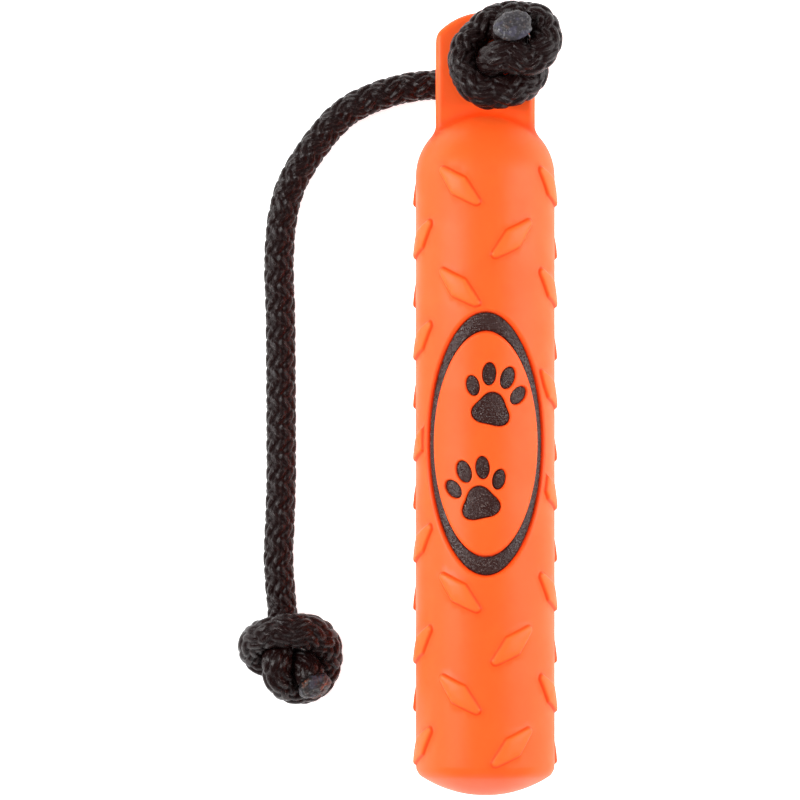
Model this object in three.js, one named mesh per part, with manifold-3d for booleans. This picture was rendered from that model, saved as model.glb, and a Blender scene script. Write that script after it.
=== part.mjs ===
// Retrieving dummy for gun dogs: a hollow moulded body with a flat rope tab, a badge and a throw rope.
// Millimetres. +Y runs along the body towards the tab and +Z points up out of the badge.
// The dummy lies on its back: its lowest studs and the free rope rest on the plane z = 0.
import * as THREE from "three";
import { mergeVertices } from "three/addons/utils/BufferGeometryUtils.js";
import Module from "manifold-3d";

const wasm = await Module();
wasm.setup();

const gap = 0.3; // left between pieces that touch
const bodyRadius = 25.4;
const wall = 3.5;
const bodySides = 40;
const endY = -143; // middle of the domed end
const domeRadius = 42.6;
const cornerRadius = 4.6; // between the dome and the side
const shoulderY = 83.2; // where the side turns into the shoulder
const shoulderLength = 23;
const studHeight = 1.2;
const axisHeight = bodyRadius + studHeight;

const tab = {
  top: 143,
  rootY: 88,
  halfWidth: 18.1,
  crownRadius: 23.8,
  cornerRadius: 2.9,
  thickness: 14,
  edge: 1.5,
  holeY: 118.6,
  holeRadius: 5.7,
};

const stud = {
  long: 26.8,
  short: 8.6,
  tipRadius: 1.3,
  sideRadius: 2.5,
  slant: (41 * Math.PI) / 180,
  columns: 8,
  rows: 6,
  pitch: 36.9, // between the studs of one column
  firstY: 79.2, // top stud of the columns that lean left
  stagger: 19.2, // how much lower the other columns start
};

const badge = {
  y: -14.4,
  outer: [21.3, 47.8],
  inner: [19.4, 40.9],
  rim: 1.6, // smooth margin that cuts into the studs beside it
  depth: 1.8,
  inlay: 0.8,
};

// One print: four toes and a heel, each with its centre, radii and tilt in degrees.
const paw = {
  toes: [
    { name: "outer_left", at: [-8.6, 2.6], radii: [2.5, 3.8], tilt: 26 },
    { name: "inner_left", at: [-3.5, 8], radii: [2.7, 4.2], tilt: 8 },
    { name: "inner_right", at: [3.5, 8], radii: [2.7, 4.2], tilt: -8 },
    { name: "outer_right", at: [8.6, 2.6], radii: [2.5, 3.8], tilt: -26 },
  ],
  heel: { y: -4.8, width: 7, height: 6, lobe: 0.13 },
  depth: 1.5,
};
const trail = [
  { name: "upper", at: [3, 2.4], turn: -12 },
  { name: "lower", at: [-3, -31.6], turn: 12 },
];

const valve = { radius: 3.6, flange: 6.5, flangeThickness: 1.6, needle: 0.9, needleDepth: 3, sunk: 0.7 };

const ropeRadius = 5.1;
const knotRadius = 4.6; // the rope is squeezed thinner inside its knots
const meltedRadius = 5.9;

// The rope's middle line: stopper knot from its cut end down to the hole, the run, and the end knot.
const stopperRoute = [
  [9.5, 138.5, 51.5], [8.7, 134.6, 46], [11.2, 131, 41.2], [15.2, 127, 39], [17.5, 122, 39],
  [15, 117, 41], [10.5, 114.5, 43.5], [5.5, 113.5, 45], [0.5, 113.2, 45.5], [-4.6, 116.1, 45],
  [-7.5, 121, 43], [-8.2, 125.5, 41.5], [-7.2, 130.2, 40], [-2.9, 135.2, 39.2], [2.3, 139.6, 39],
  [9, 141.3, 39.5], [14.5, 141, 40.5], [19.5, 139.5, 43], [22, 133.5, 46.5], [20.5, 128, 49.5],
  [16.5, 125, 50.5], [10.5, 125.5, 51.5], [5.5, 126, 51], [3, 125.5, 49], [2, 123.5, 45],
  [1.8, 121.8, 40.7], [0.7, 119.7, 37.7], [0, 118.6, 34.6],
];
const runRoute = [
  [0, 118.6, 33], [0, 118.6, 26.5], [0, 118.6, 20], [-1.2, 118.5, 15.4], [-4.8, 118.3, 12],
  [-10, 118, 11], [-18, 117.3, 10.4], [-25, 116.8, 9.5], [-33, 115.2, 8.4], [-40.5, 112.8, 7.2],
  [-49.5, 108.5, 6], [-55.5, 103.5, 5.4], [-61, 97, 5.2], [-65, 91.5, 5.2], [-69, 85, 5.2],
  [-71.8, 79, 5.2], [-74.5, 68, 5.2], [-75.7, 52, 5.2], [-75.2, 34, 5.2], [-75, 14, 5.2],
  [-74.9, -8, 5.2], [-74.9, -28, 5.2], [-75.4, -44, 5.2], [-75.9, -56, 5.2], [-75.3, -67, 5.2],
  [-74.6, -74.5, 5.2],
];
const endRoute = [
  [-74.3, -79, 5.8], [-74.4, -84, 8.7], [-75.4, -89.5, 13], [-76.3, -95, 16.4], [-75.8, -100.5, 14.6],
  [-72.5, -104, 10.5], [-67.5, -105, 7], [-63, -103.6, 5.5], [-59.5, -99.6, 5.2], [-58, -94, 7.5],
  [-58.8, -88.5, 11.5], [-62, -84.6, 16], [-67, -83.2, 19.5], [-72, -82.9, 20.8], [-77, -83.5, 20.1],
  [-82, -84.8, 17.3], [-85, -87.7, 12.4], [-85, -91, 8], [-82.3, -94, 5.6], [-79, -95.5, 5.2],
  [-75.6, -95.4, 5.2], [-71.4, -94.8, 6.2], [-67.4, -94.9, 9.8], [-65, -97.4, 14.5], [-63.2, -101.3, 17],
];

const vinyl = { color: 0xff6a3a, roughness: 0.5, metalness: 0 };
const blackInlay = { color: 0x2b2526, roughness: 0.6, metalness: 0 };
const blackRope = { color: 0x17161a, roughness: 0.8, metalness: 0 };
const blackRubber = { color: 0x202022, roughness: 0.7, metalness: 0 };

// A closed geometry as a solid. Its faces are turned round if they point in.
function solidOf(geometry) {
  const plain = new THREE.BufferGeometry();
  plain.setAttribute("position", geometry.getAttribute("position"));
  plain.setIndex(geometry.index);
  const merged = mergeVertices(plain, 1e-4);
  const corners = new Uint32Array(merged.index.array);
  const vertProperties = merged.attributes.position.array;
  const solid = new wasm.Manifold(new wasm.Mesh({ numProp: 3, vertProperties, triVerts: corners }));
  if (solid.volume() > 0) return solid;
  return new wasm.Manifold(new wasm.Mesh({ numProp: 3, vertProperties, triVerts: corners.reverse() }));
}

function geometryOf(solid) {
  const mesh = solid.getMesh();
  const geometry = new THREE.BufferGeometry();
  geometry.setAttribute("position", new THREE.BufferAttribute(mesh.vertProperties, 3));
  geometry.setIndex(new THREE.BufferAttribute(mesh.triVerts, 1));
  geometry.computeVertexNormals();
  return geometry;
}

function piece(name, solid, finish) {
  const mesh = new THREE.Mesh(geometryOf(solid), new THREE.MeshStandardMaterial(finish));
  mesh.name = name;
  return mesh;
}

// Points of an arc, given from angle to angle in radians, both ends included.
function arc(x, y, radiusX, radiusY, from, to, steps) {
  return Array.from({ length: steps + 1 }, (_, i) => {
    const angle = from + ((to - from) * i) / steps;
    return new THREE.Vector2(x + radiusX * Math.cos(angle), y + radiusY * Math.sin(angle));
  });
}

// The body turned about Y, with its whole skin moved in by inset.
function bodyBarrel(inset, sides) {
  const radius = bodyRadius - inset;
  const dome = domeRadius - inset;
  const corner = cornerRadius - inset;
  const domeY = endY + domeRadius;
  const reach = dome - corner;
  const cornerX = radius - corner;
  const cornerY = domeY - Math.sqrt(reach ** 2 - cornerX ** 2);
  const meet = Math.atan2(cornerY - domeY, cornerX);
  const profile = [
    ...arc(0, domeY, dome, dome, -Math.PI / 2, meet, 5),
    ...arc(cornerX, cornerY, corner, corner, meet, 0, 3).slice(1),
    ...arc(0, shoulderY, radius, shoulderLength - inset, 0, Math.PI / 2, 8),
  ];
  profile[0].x = 0;
  profile[profile.length - 1].x = 0;
  return solidOf(new THREE.LatheGeometry(profile, sides));
}

// A plain round bar on the body's axis, used to cut pieces to a radius.
function roundBar(radius, from, to) {
  const bar = new THREE.CylinderGeometry(radius, radius, to - from, bodySides);
  return solidOf(bar.translate(0, (from + to) / 2, 0));
}

function prism(shape, from, to, curveSegments) {
  const options = { depth: to - from, bevelEnabled: false, curveSegments };
  return solidOf(new THREE.ExtrudeGeometry(shape, options).translate(0, 0, from));
}

function tabPlate() {
  const { top, rootY, halfWidth, crownRadius, cornerRadius: corner, thickness, edge } = tab;
  const crownY = top - crownRadius;
  const cornerX = halfWidth - corner;
  const rise = Math.sqrt((crownRadius - corner) ** 2 - cornerX ** 2);
  const meet = Math.atan2(rise, cornerX);
  const shape = new THREE.Shape();
  shape.moveTo(-halfWidth, rootY);
  shape.lineTo(halfWidth, rootY);
  shape.absarc(cornerX, crownY + rise, corner, 0, meet);
  shape.absarc(0, crownY, crownRadius, meet, Math.PI - meet);
  shape.absarc(-cornerX, crownY + rise, corner, Math.PI - meet, Math.PI);
  const options = {
    depth: thickness - 2 * edge,
    bevelThickness: edge,
    bevelSize: edge,
    bevelOffset: -edge,
    bevelSegments: 2,
    curveSegments: 8,
  };
  return solidOf(new THREE.ExtrudeGeometry(shape, options).translate(0, 0, edge - thickness / 2));
}

function ropeHole() {
  const { holeRadius, thickness, holeY } = tab;
  const bar = new THREE.CylinderGeometry(holeRadius, holeRadius, thickness + 2, 24);
  return solidOf(bar.rotateX(Math.PI / 2).translate(0, holeY, 0));
}

// A lozenge with rounded tips and softened blunt corners, long way along X.
function lozenge() {
  const tilt = Math.atan2(stud.short, stud.long);
  const tipX = stud.long / 2 - stud.tipRadius / Math.sin(tilt);
  const sideY = stud.short / 2 - stud.sideRadius / Math.cos(tilt);
  const square = Math.PI / 2;
  const shape = new THREE.Shape();
  shape.absarc(tipX, 0, stud.tipRadius, tilt - square, square - tilt);
  shape.absarc(0, sideY, stud.sideRadius, square - tilt, square + tilt);
  shape.absarc(-tipX, 0, stud.tipRadius, square + tilt, 3 * square - tilt);
  shape.absarc(0, -sideY, stud.sideRadius, 3 * square - tilt, 3 * square + tilt);
  return shape;
}

// Where the studs stand: the angle round the body from the badge, the place along Y, and the lean.
function studPlaces() {
  const places = [];
  for (let column = 0; column < stud.columns; column++) {
    const angle = ((column + 0.5) * 2 * Math.PI) / stud.columns;
    const leansLeft = column % 2 === 1;
    const top = stud.firstY - (leansLeft ? 0 : stud.stagger);
    for (let row = 0; row < stud.rows; row++)
      places.push({ angle, y: top - row * stud.pitch, lean: leansLeft ? -stud.slant : stud.slant });
  }
  return places;
}

function onBadge({ angle, y }) {
  const x = bodyRadius * Math.sin(angle);
  const facing = Math.cos(angle) > 0;
  return facing && (x / badge.outer[0]) ** 2 + ((y - badge.y) / badge.outer[1]) ** 2 < 1;
}

function studs() {
  const bar = new THREE.ExtrudeGeometry(lozenge(), { depth: 5, bevelEnabled: false, curveSegments: 1 });
  const standing = studPlaces()
    .filter((place) => !onBadge(place))
    .map(({ angle, y, lean }) => {
      const copy = bar.clone().rotateZ(lean).translate(0, 0, bodyRadius - 2);
      return solidOf(copy.rotateY(angle).translate(0, y, 0));
    });
  const all = standing.reduce((sum, one) => sum.add(one));
  const skin = roundBar(bodyRadius + studHeight, endY, shoulderY + stud.long);
  return all.intersect(skin).subtract(ovalPrism(badge.outer, badge.rim));
}

function ovalPrism([radiusX, radiusY], grow) {
  const shape = new THREE.Shape();
  shape.absellipse(0, badge.y, radiusX + grow, radiusY + grow, 0, 2 * Math.PI);
  return prism(shape, 1, bodyRadius + 6, 18);
}

// The layer of everything inside outline between two depths below the body's skin.
function layer(outline, topDepth, bottomDepth) {
  const top = roundBar(bodyRadius - topDepth, endY, shoulderY);
  const bottom = roundBar(bodyRadius - bottomDepth, endY, shoulderY);
  return outline.intersect(top).subtract(bottom);
}

function ringOutline(inset) {
  return ovalPrism(badge.outer, -inset).subtract(ovalPrism(badge.inner, inset));
}

function heelShape(inset) {
  const { y, width, height, lobe } = paw.heel;
  const steps = 18;
  const points = Array.from({ length: steps }, (_, i) => {
    const angle = (2 * Math.PI * i) / steps;
    const swell = 1 + lobe * Math.cos(3 * (angle - Math.PI / 2));
    const across = (width - inset) * swell * Math.cos(angle);
    return new THREE.Vector2(across, y + (height - inset) * swell * Math.sin(angle));
  });
  return new THREE.Shape(points);
}

function toeShape({ at, radii, tilt }, inset) {
  const shape = new THREE.Shape();
  const turn = THREE.MathUtils.degToRad(tilt);
  shape.absellipse(at[0], at[1], radii[0] - inset, radii[1] - inset, 0, 2 * Math.PI, false, turn);
  return shape;
}

// Every pad of both prints as a named outline, drawn smaller by inset.
function padOutlines(inset) {
  return trail.flatMap(({ name, at, turn }) => {
    const shapes = paw.toes.map((toe) => ({ pad: "toe_" + toe.name, shape: toeShape(toe, inset) }));
    shapes.push({ pad: "heel", shape: heelShape(inset) });
    return shapes.map(({ pad, shape }) => {
      const options = { depth: bodyRadius + 6, bevelEnabled: false, curveSegments: 7 };
      const bar = new THREE.ExtrudeGeometry(shape, options);
      const placed = bar.rotateZ(THREE.MathUtils.degToRad(turn)).translate(at[0], at[1], 1);
      return { name: "paw_" + name + "_" + pad, outline: solidOf(placed) };
    });
  });
}

function valveBore() {
  const bar = new THREE.CylinderGeometry(valve.radius + gap, valve.radius + gap, 4 * wall, 24);
  return solidOf(bar.translate(0, endY, 0));
}

function bodyShell() {
  const above = -0.5; // the cuts start above the skin, so that they clear it
  let shell = bodyBarrel(0, bodySides).add(tabPlate()).add(studs());
  shell = shell.subtract(bodyBarrel(wall, 24));
  shell = shell.subtract(ropeHole()).subtract(valveBore());
  shell = shell.subtract(layer(ringOutline(0), above, badge.depth));
  for (const { outline } of padOutlines(0)) shell = shell.subtract(layer(outline, above, paw.depth));
  return shell;
}

function inlays() {
  const below = (depth) => [badge.inlay, depth - gap];
  const ring = layer(ringOutline(gap), ...below(badge.depth));
  const pads = padOutlines(gap).map(({ name, outline }) =>
    piece(name, layer(outline, ...below(paw.depth)), blackInlay),
  );
  return [piece("badge_ring", ring, blackInlay), ...pads];
}

// A rubber plug pushed out from inside: its flange sits behind the wall.
function airValve() {
  const outside = valve.sunk;
  const behind = wall + gap;
  const back = behind + valve.flangeThickness;
  const profile = [
    [0, outside + valve.needleDepth],
    [valve.needle, outside + valve.needleDepth],
    [valve.needle, outside],
    [valve.radius, outside],
    [valve.radius, behind + 1],
    [valve.flange, behind + 1],
    [valve.flange, back + 1],
    [0, back + 1],
  ].map(([x, y]) => new THREE.Vector2(x, endY + y));
  return solidOf(new THREE.LatheGeometry(profile, 24));
}

// A stretch of the whole rope, between two distances along it.
class Stretch extends THREE.Curve {
  constructor(whole, from, to) {
    super();
    this.whole = whole;
    this.from = from;
    this.to = to;
  }
  getPoint(share, target = new THREE.Vector3()) {
    const distance = this.from + (this.to - this.from) * share;
    return this.whole.getPointAt(distance / this.whole.getLength(), target);
  }
}

function ropeLine() {
  const points = [...stopperRoute, ...runRoute, ...endRoute].map((p) => new THREE.Vector3(...p));
  const line = new THREE.CatmullRomCurve3(points);
  line.arcLengthDivisions = 16 * (points.length - 1);
  return line;
}

// How far along the rope a route point lies.
function distanceAt(line, index) {
  return line.getLengths()[16 * index];
}

function tube(line, from, to, radius, sides, steps) {
  const section = new THREE.Shape(arc(0, 0, radius, radius, 0, 2 * Math.PI, sides).slice(1));
  const options = { steps, extrudePath: new Stretch(line, from, to), curveSegments: 1 };
  return solidOf(new THREE.ExtrudeGeometry(section, options));
}

// The domed blob that a melted rope end leaves, a little wider than the rope.
function meltedEnd(name, line, distance, outward) {
  const profile = [
    [0, gap],
    [meltedRadius - 0.6, gap],
    [meltedRadius, gap + 0.7],
    [meltedRadius - 0.2, gap + 1.6],
    [meltedRadius - 1.6, gap + 2.5],
    [0, gap + 2.9],
  ].map(([x, y]) => new THREE.Vector2(x, y));
  const mesh = piece(name, solidOf(new THREE.LatheGeometry(profile, 16)), blackRope);
  const share = distance / line.getLength();
  mesh.position.copy(line.getPointAt(share));
  const direction = line.getTangentAt(share).multiplyScalar(outward);
  mesh.quaternion.setFromUnitVectors(new THREE.Vector3(0, 1, 0), direction);
  return mesh;
}

function buildDummy() {
  const dummy = new THREE.Group();
  dummy.position.z = axisHeight;
  dummy.add(piece("body_shell", bodyShell(), vinyl));
  dummy.add(...inlays());
  dummy.add(piece("air_valve", airValve(), blackRubber));
  return dummy;
}

function buildRope() {
  const line = ropeLine();
  const whole = line.getLength();
  const hole = distanceAt(line, stopperRoute.length);
  const knot = distanceAt(line, stopperRoute.length + runRoute.length - 1);
  const rope = new THREE.Group();
  rope.add(piece("stopper_knot", tube(line, 0, hole - gap, knotRadius, 8, 48), blackRope));
  rope.add(piece("rope_run", tube(line, hole, knot, ropeRadius, 10, 64), blackRope));
  rope.add(piece("end_knot", tube(line, knot + gap, whole, knotRadius, 8, 44), blackRope));
  rope.add(meltedEnd("stopper_melted_end", line, 0, -1));
  rope.add(meltedEnd("free_melted_end", line, whole, 1));
  return rope;
}

const group = new THREE.Group();
group.add(buildDummy(), buildRope());
export default group;
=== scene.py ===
import math
import bmesh
import bpy
import numpy as np
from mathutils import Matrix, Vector, kdtree, noise
from mathutils.geometry import delaunay_2d_cdt


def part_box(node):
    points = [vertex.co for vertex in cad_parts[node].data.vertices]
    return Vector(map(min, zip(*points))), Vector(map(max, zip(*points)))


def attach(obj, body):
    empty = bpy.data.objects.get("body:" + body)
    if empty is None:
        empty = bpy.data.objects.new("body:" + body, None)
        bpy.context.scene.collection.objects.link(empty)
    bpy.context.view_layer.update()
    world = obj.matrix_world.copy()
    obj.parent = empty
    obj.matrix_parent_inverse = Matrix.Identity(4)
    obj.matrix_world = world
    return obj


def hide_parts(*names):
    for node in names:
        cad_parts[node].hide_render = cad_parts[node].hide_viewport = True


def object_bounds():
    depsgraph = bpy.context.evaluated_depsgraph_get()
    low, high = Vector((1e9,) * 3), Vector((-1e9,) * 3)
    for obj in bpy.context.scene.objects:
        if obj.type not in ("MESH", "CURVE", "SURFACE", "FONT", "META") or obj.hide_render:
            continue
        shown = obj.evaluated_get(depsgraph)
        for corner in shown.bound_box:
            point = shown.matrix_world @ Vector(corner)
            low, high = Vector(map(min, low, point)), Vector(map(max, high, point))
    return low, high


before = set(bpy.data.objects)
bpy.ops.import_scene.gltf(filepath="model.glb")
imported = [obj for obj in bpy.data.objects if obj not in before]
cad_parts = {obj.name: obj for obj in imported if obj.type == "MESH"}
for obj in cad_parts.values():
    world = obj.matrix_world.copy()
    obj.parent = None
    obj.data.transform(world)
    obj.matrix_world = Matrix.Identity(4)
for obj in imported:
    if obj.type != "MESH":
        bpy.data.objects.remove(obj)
cadBox = [list(corner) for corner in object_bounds()]
mm = 0.001
print("frame loaded")

# Camera: straight above, with a long lens

camera = {
    "height": 3.0,
    "frameWidth": 0.2924,  # what the frame spans at the middle of the body
    "nudge": (0.0005, -0.0001),  # from the middle of the object
}


def addCamera():
    low, high = cadBox
    shellLow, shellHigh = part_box("body_shell")
    middleZ = (shellLow.z + shellHigh.z) / 2
    lens = bpy.data.cameras.new("overheadCamera")
    lens.sensor_width = 36
    lens.lens = 36 * (camera["height"] - middleZ) / camera["frameWidth"]
    lens.clip_start = 0.1
    lens.clip_end = 30
    holder = bpy.data.objects.new("overheadCamera", lens)
    holder.location = (
        (low[0] + high[0]) / 2 + camera["nudge"][0],
        (low[1] + high[1]) / 2 + camera["nudge"][1],
        camera["height"],
    )
    bpy.context.scene.collection.objects.link(holder)
    bpy.context.scene.camera = holder


addCamera()
print("camera placed")

# Mesh helpers. Every shape is worked out in millimetres


def addMesh(name, points, faces, normals=None, attributes=None):
    mesh = bpy.data.meshes.new(name)
    mesh.from_pydata((np.asarray(points, float) * mm).tolist(), [], [list(face) for face in faces])
    for label, values in (attributes or {}).items():
        layer = mesh.attributes.new(label, "FLOAT", "POINT")
        layer.data.foreach_set("value", np.asarray(values, np.float32))
    mesh.shade_smooth()
    if normals is not None:
        mesh.normals_split_custom_set_from_vertices(np.asarray(normals, float).tolist())
    mesh.update()
    piece = bpy.data.objects.new(name, mesh)
    bpy.context.scene.collection.objects.link(piece)
    return piece


def faceOutwards(piece):
    work = bmesh.new()
    work.from_mesh(piece.data)
    bmesh.ops.recalc_face_normals(work, faces=work.faces)
    work.to_mesh(piece.data)
    work.free()
    piece.data.shade_smooth()


def unit(vectors):
    return vectors / np.maximum(np.linalg.norm(vectors, axis=-1, keepdims=True), 1e-12)


def noiseAt(points, size, seed=0.0):
    shift = Vector((seed, 2.7 * seed, -1.3 * seed))
    return np.array([noise.noise(Vector(p) / size + shift) for p in points])


# Rope: one braided line that goes through both knots, cut into three pieces

rope = {
    "radius": 5.6,  # over the crowns of the strands
    "swell": (  # where the rope bulges in its knots: place along it, reach, share
        (6, 8, 0.22), (44, 14, 0.13), (108, 7, 0.06), (128, 10, 0.12), (490, 14, 0.2), (540, 10, 0.1),
    ),
    "eachWay": 8,  # strands that wind one way, and as many the other way
    "pitch": 5.2,  # from one crown to the next along the rope
    "weave": 0.5,  # how far a strand rises over the next and dips under it
    "crown": 1.15,  # how round the back of a strand is
    "narrow": 1.85,  # how narrow that back is
    "steep": 1.5,  # how quickly a strand climbs over the next
    "around": 92,
    "step": 0.34,
    "minBend": 0.9,  # share of a bend's radius that the rope may fill on its inner side
    "press": 0.05,  # left between turns that lie against each other
    "ownTurn": 13,  # closer than this along the rope is not another turn
    "turnReach": 12.5,
    "least": 2.0,  # the thinnest that pressing may leave it
    "floorGap": 0.05,
    "wideOpen": 99.0,
}
stopperRoute = [
    (9.5, 138.5, 51.5), (8.7, 134.6, 46), (11.2, 131, 41.2), (15.2, 127, 39), (17.5, 122, 39),
    (15, 117, 41), (10.5, 114.5, 43.5), (5.5, 113.5, 45), (0.5, 113.2, 45.5), (-4.6, 116.1, 45),
    (-7.5, 121, 43), (-8.2, 125.5, 41.5), (-7.2, 130.2, 40), (-2.9, 135.2, 39.2), (2.3, 139.6, 39),
    (9, 141.3, 39.5), (14.5, 141, 40.5), (19.5, 139.5, 43), (22, 133.5, 46.5), (20.5, 128, 49.5),
    (16.5, 125, 50.5), (10.5, 125.5, 51.5), (5.5, 126, 51), (3, 125.5, 49), (2, 123.5, 45),
    (1.8, 121.8, 40.7), (0.7, 119.7, 37.7), (0, 118.6, 34.6),
]
runRoute = [
    (0, 118.6, 33), (0, 118.6, 26.5), (0, 118.6, 20), (-1.2, 118.5, 15.4), (-4.8, 118.3, 12),
    (-10, 118, 11), (-18, 117.3, 10.4), (-25, 116.8, 9.5), (-33, 115.2, 8.4), (-40.5, 112.8, 7.2),
    (-49.5, 108.5, 6), (-55.5, 103.5, 5.4), (-61, 97, 5.2), (-65, 91.5, 5.2), (-69, 85, 5.2),
    (-71.8, 79, 5.2), (-74.5, 68, 5.2), (-75.7, 52, 5.2), (-75.2, 34, 5.2), (-75, 14, 5.2),
    (-74.9, -8, 5.2), (-74.9, -28, 5.2), (-75.4, -44, 5.2), (-75.9, -56, 5.2), (-75.3, -67, 5.2),
    (-74.6, -74.5, 5.2),
]
endRoute = [
    (-74.3, -79, 5.8), (-74.4, -84, 8.7), (-75.4, -89.5, 13), (-76.3, -95, 16.4), (-75.8, -100.5, 14.6),
    (-72.5, -104, 10.5), (-67.5, -105, 7), (-63, -103.6, 5.5), (-59.5, -99.6, 5.2), (-58, -94, 7.5),
    (-58.8, -88.5, 11.5), (-62, -84.6, 16), (-67, -83.2, 19.5), (-72, -82.9, 20.8), (-77, -83.5, 20.1),
    (-82, -84.8, 17.3), (-85, -87.7, 12.4), (-85, -91, 8), (-82.3, -94, 5.6), (-79, -95.5, 5.2),
    (-75.6, -95.4, 5.2), (-71.4, -94.8, 6.2), (-67.4, -94.9, 9.8), (-65, -97.4, 14.5), (-63.2, -101.3, 17),
]


# A centripetal Catmull-Rom line, as points and the distance of each route point along it
def smoothLine(route, perSpan=24):
    given = np.array(route, float)
    held = np.vstack([2 * given[0] - given[1], given, 2 * given[-1] - given[-2]])
    share = np.arange(perSpan)[:, None] / perSpan
    parts = []
    for i in range(len(given) - 1):
        p0, p1, p2, p3 = held[i:i + 4]
        d0, d1, d2 = (math.sqrt(np.linalg.norm(b - a)) for a, b in ((p0, p1), (p1, p2), (p2, p3)))
        leave = d1 * ((p1 - p0) / d0 - (p2 - p0) / (d0 + d1) + (p2 - p1) / d1)
        reach = d1 * ((p2 - p1) / d1 - (p3 - p1) / (d1 + d2) + (p3 - p2) / d2)
        square = -3 * p1 + 3 * p2 - 2 * leave - reach
        cube = 2 * p1 - 2 * p2 + leave + reach
        parts.append(p1 + leave * share + square * share**2 + cube * share**3)
    line = np.vstack([*parts, given[-1:]])
    distance = np.concatenate([[0], np.cumsum(np.linalg.norm(np.diff(line, axis=0), axis=1))])
    return line, distance, distance[::perSpan]


# Frames that turn as little as possible from one point of a line to the next
def steadyFrames(centre):
    along = unit(np.gradient(centre, axis=0))
    side = np.zeros_like(centre)
    side[0] = unit(np.cross(along[0], (0.3, 0.2, 1)))
    for i in range(len(centre) - 1):
        step = centre[i + 1] - centre[i]
        size = step @ step
        turned = side[i] - 2 / size * (step @ side[i]) * step
        ahead = along[i] - 2 / size * (step @ along[i]) * step
        fix = along[i + 1] - ahead
        side[i + 1] = turned - 2 / max(fix @ fix, 1e-12) * (fix @ turned) * fix
    side = unit(side - (side * along).sum(1)[:, None] * along)
    return along, side, np.cross(along, side)


# Strand relief: each strand goes over two and under two of those that wind the other way
def braidRelief(distance, angle):
    turn = rope["eachWay"] * angle / (2 * math.pi)
    climb = distance / rope["pitch"]
    first, second = turn - climb, turn + climb
    firstId, secondId = np.round(first), np.round(second)
    firstAcross, secondAcross = first - firstId, second - secondId
    firstWave = np.cos(np.pi / 2 * (second - firstId - 0.5))
    secondWave = np.cos(np.pi / 2 * (first - secondId + 0.5))
    firstHigh = rope["weave"] * np.clip(rope["steep"] * firstWave, -1, 1)
    secondHigh = -rope["weave"] * np.clip(rope["steep"] * secondWave, -1, 1)
    firstHigh = firstHigh + rope["crown"] * (np.sqrt(1 - (rope["narrow"] * firstAcross) ** 2) - 1)
    secondHigh = secondHigh + rope["crown"] * (np.sqrt(1 - (rope["narrow"] * secondAcross) ** 2) - 1)
    onTop = firstHigh > secondHigh
    relief = np.maximum(firstHigh, secondHigh)
    across = np.where(onTop, firstAcross, secondAcross)
    strandId = np.where(onTop, firstId % rope["eachWay"], rope["eachWay"] + secondId % rope["eachWay"])
    return relief - rope["weave"], across, strandId


# How far a rope may bulge at each point before it meets another turn of itself, or its own bend
def roomAround(centre, distance, direction):
    room = np.full(direction.shape[:2], rope["wideOpen"])
    others = np.arange(0, len(centre), 3)
    bend = np.gradient(np.gradient(centre, distance, axis=0), distance, axis=0)
    for i in range(len(centre)):
        near = others[np.abs(distance[others] - distance[i]) > rope["ownTurn"]]
        gap = centre[near] - centre[i]
        gap = gap[np.linalg.norm(gap, axis=1) < rope["turnReach"]]
        if len(gap):
            facing = direction[i] @ gap.T
            half = (gap**2).sum(1)[None, :] / 2
            limit = np.where(facing > 0.3, half / np.maximum(facing, 0.3), rope["wideOpen"])
            room[i] = limit.min(1) - rope["press"]
        inward = direction[i] @ bend[i]
        room[i] = np.minimum(room[i], rope["minBend"] / np.maximum(inward, 0.01))
    return room


def buildRopeSurface():
    line, distance, marks = smoothLine([*stopperRoute, *runRoute, *endRoute])
    cuts = marks[len(stopperRoute)], marks[len(stopperRoute) + len(runRoute) - 1]
    spans = [(0, cuts[0]), cuts, (cuts[1], distance[-1])]
    stops = [np.linspace(a, b, round((b - a) / rope["step"]) + 1) for a, b in spans]
    at = np.concatenate([stops[0], stops[1][1:], stops[2][1:]])
    centre = np.stack([np.interp(at, distance, line[:, k]) for k in range(3)], axis=1)
    along, side, up = steadyFrames(centre)
    angle = np.linspace(0, 2 * math.pi, rope["around"], endpoint=False)
    outward = side[:, None] * np.cos(angle)[None, :, None] + up[:, None] * np.sin(angle)[None, :, None]
    relief, across, strandId = braidRelief(at[:, None], angle[None, :])
    room = roomAround(centre, at, outward)
    swell = sum(share * np.exp(-((at - place) / reach) ** 2) for place, reach, share in rope["swell"])
    full = (rope["radius"] + relief) * (1 + swell[:, None])
    radius = np.minimum(full, np.maximum(room, rope["least"]))
    points = centre[:, None] + outward * radius[..., None]
    points[..., 2] = np.maximum(points[..., 2], rope["floorGap"])
    lengthwise = np.gradient(points, axis=0)
    roundwise = (np.roll(points, -1, axis=1) - np.roll(points, 1, axis=1)) / 2
    normals = unit(np.cross(roundwise, lengthwise))
    normals *= np.sign((normals * outward).sum(-1, keepdims=True))
    sizes = [len(stops[0]), len(stops[0]) + len(stops[1]) - 1, len(at)]
    return {
        "points": points, "normals": normals, "centre": centre, "along": along, "at": at,
        "across": across, "strandId": strandId, "ends": sizes, "relief": relief,
    }


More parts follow.
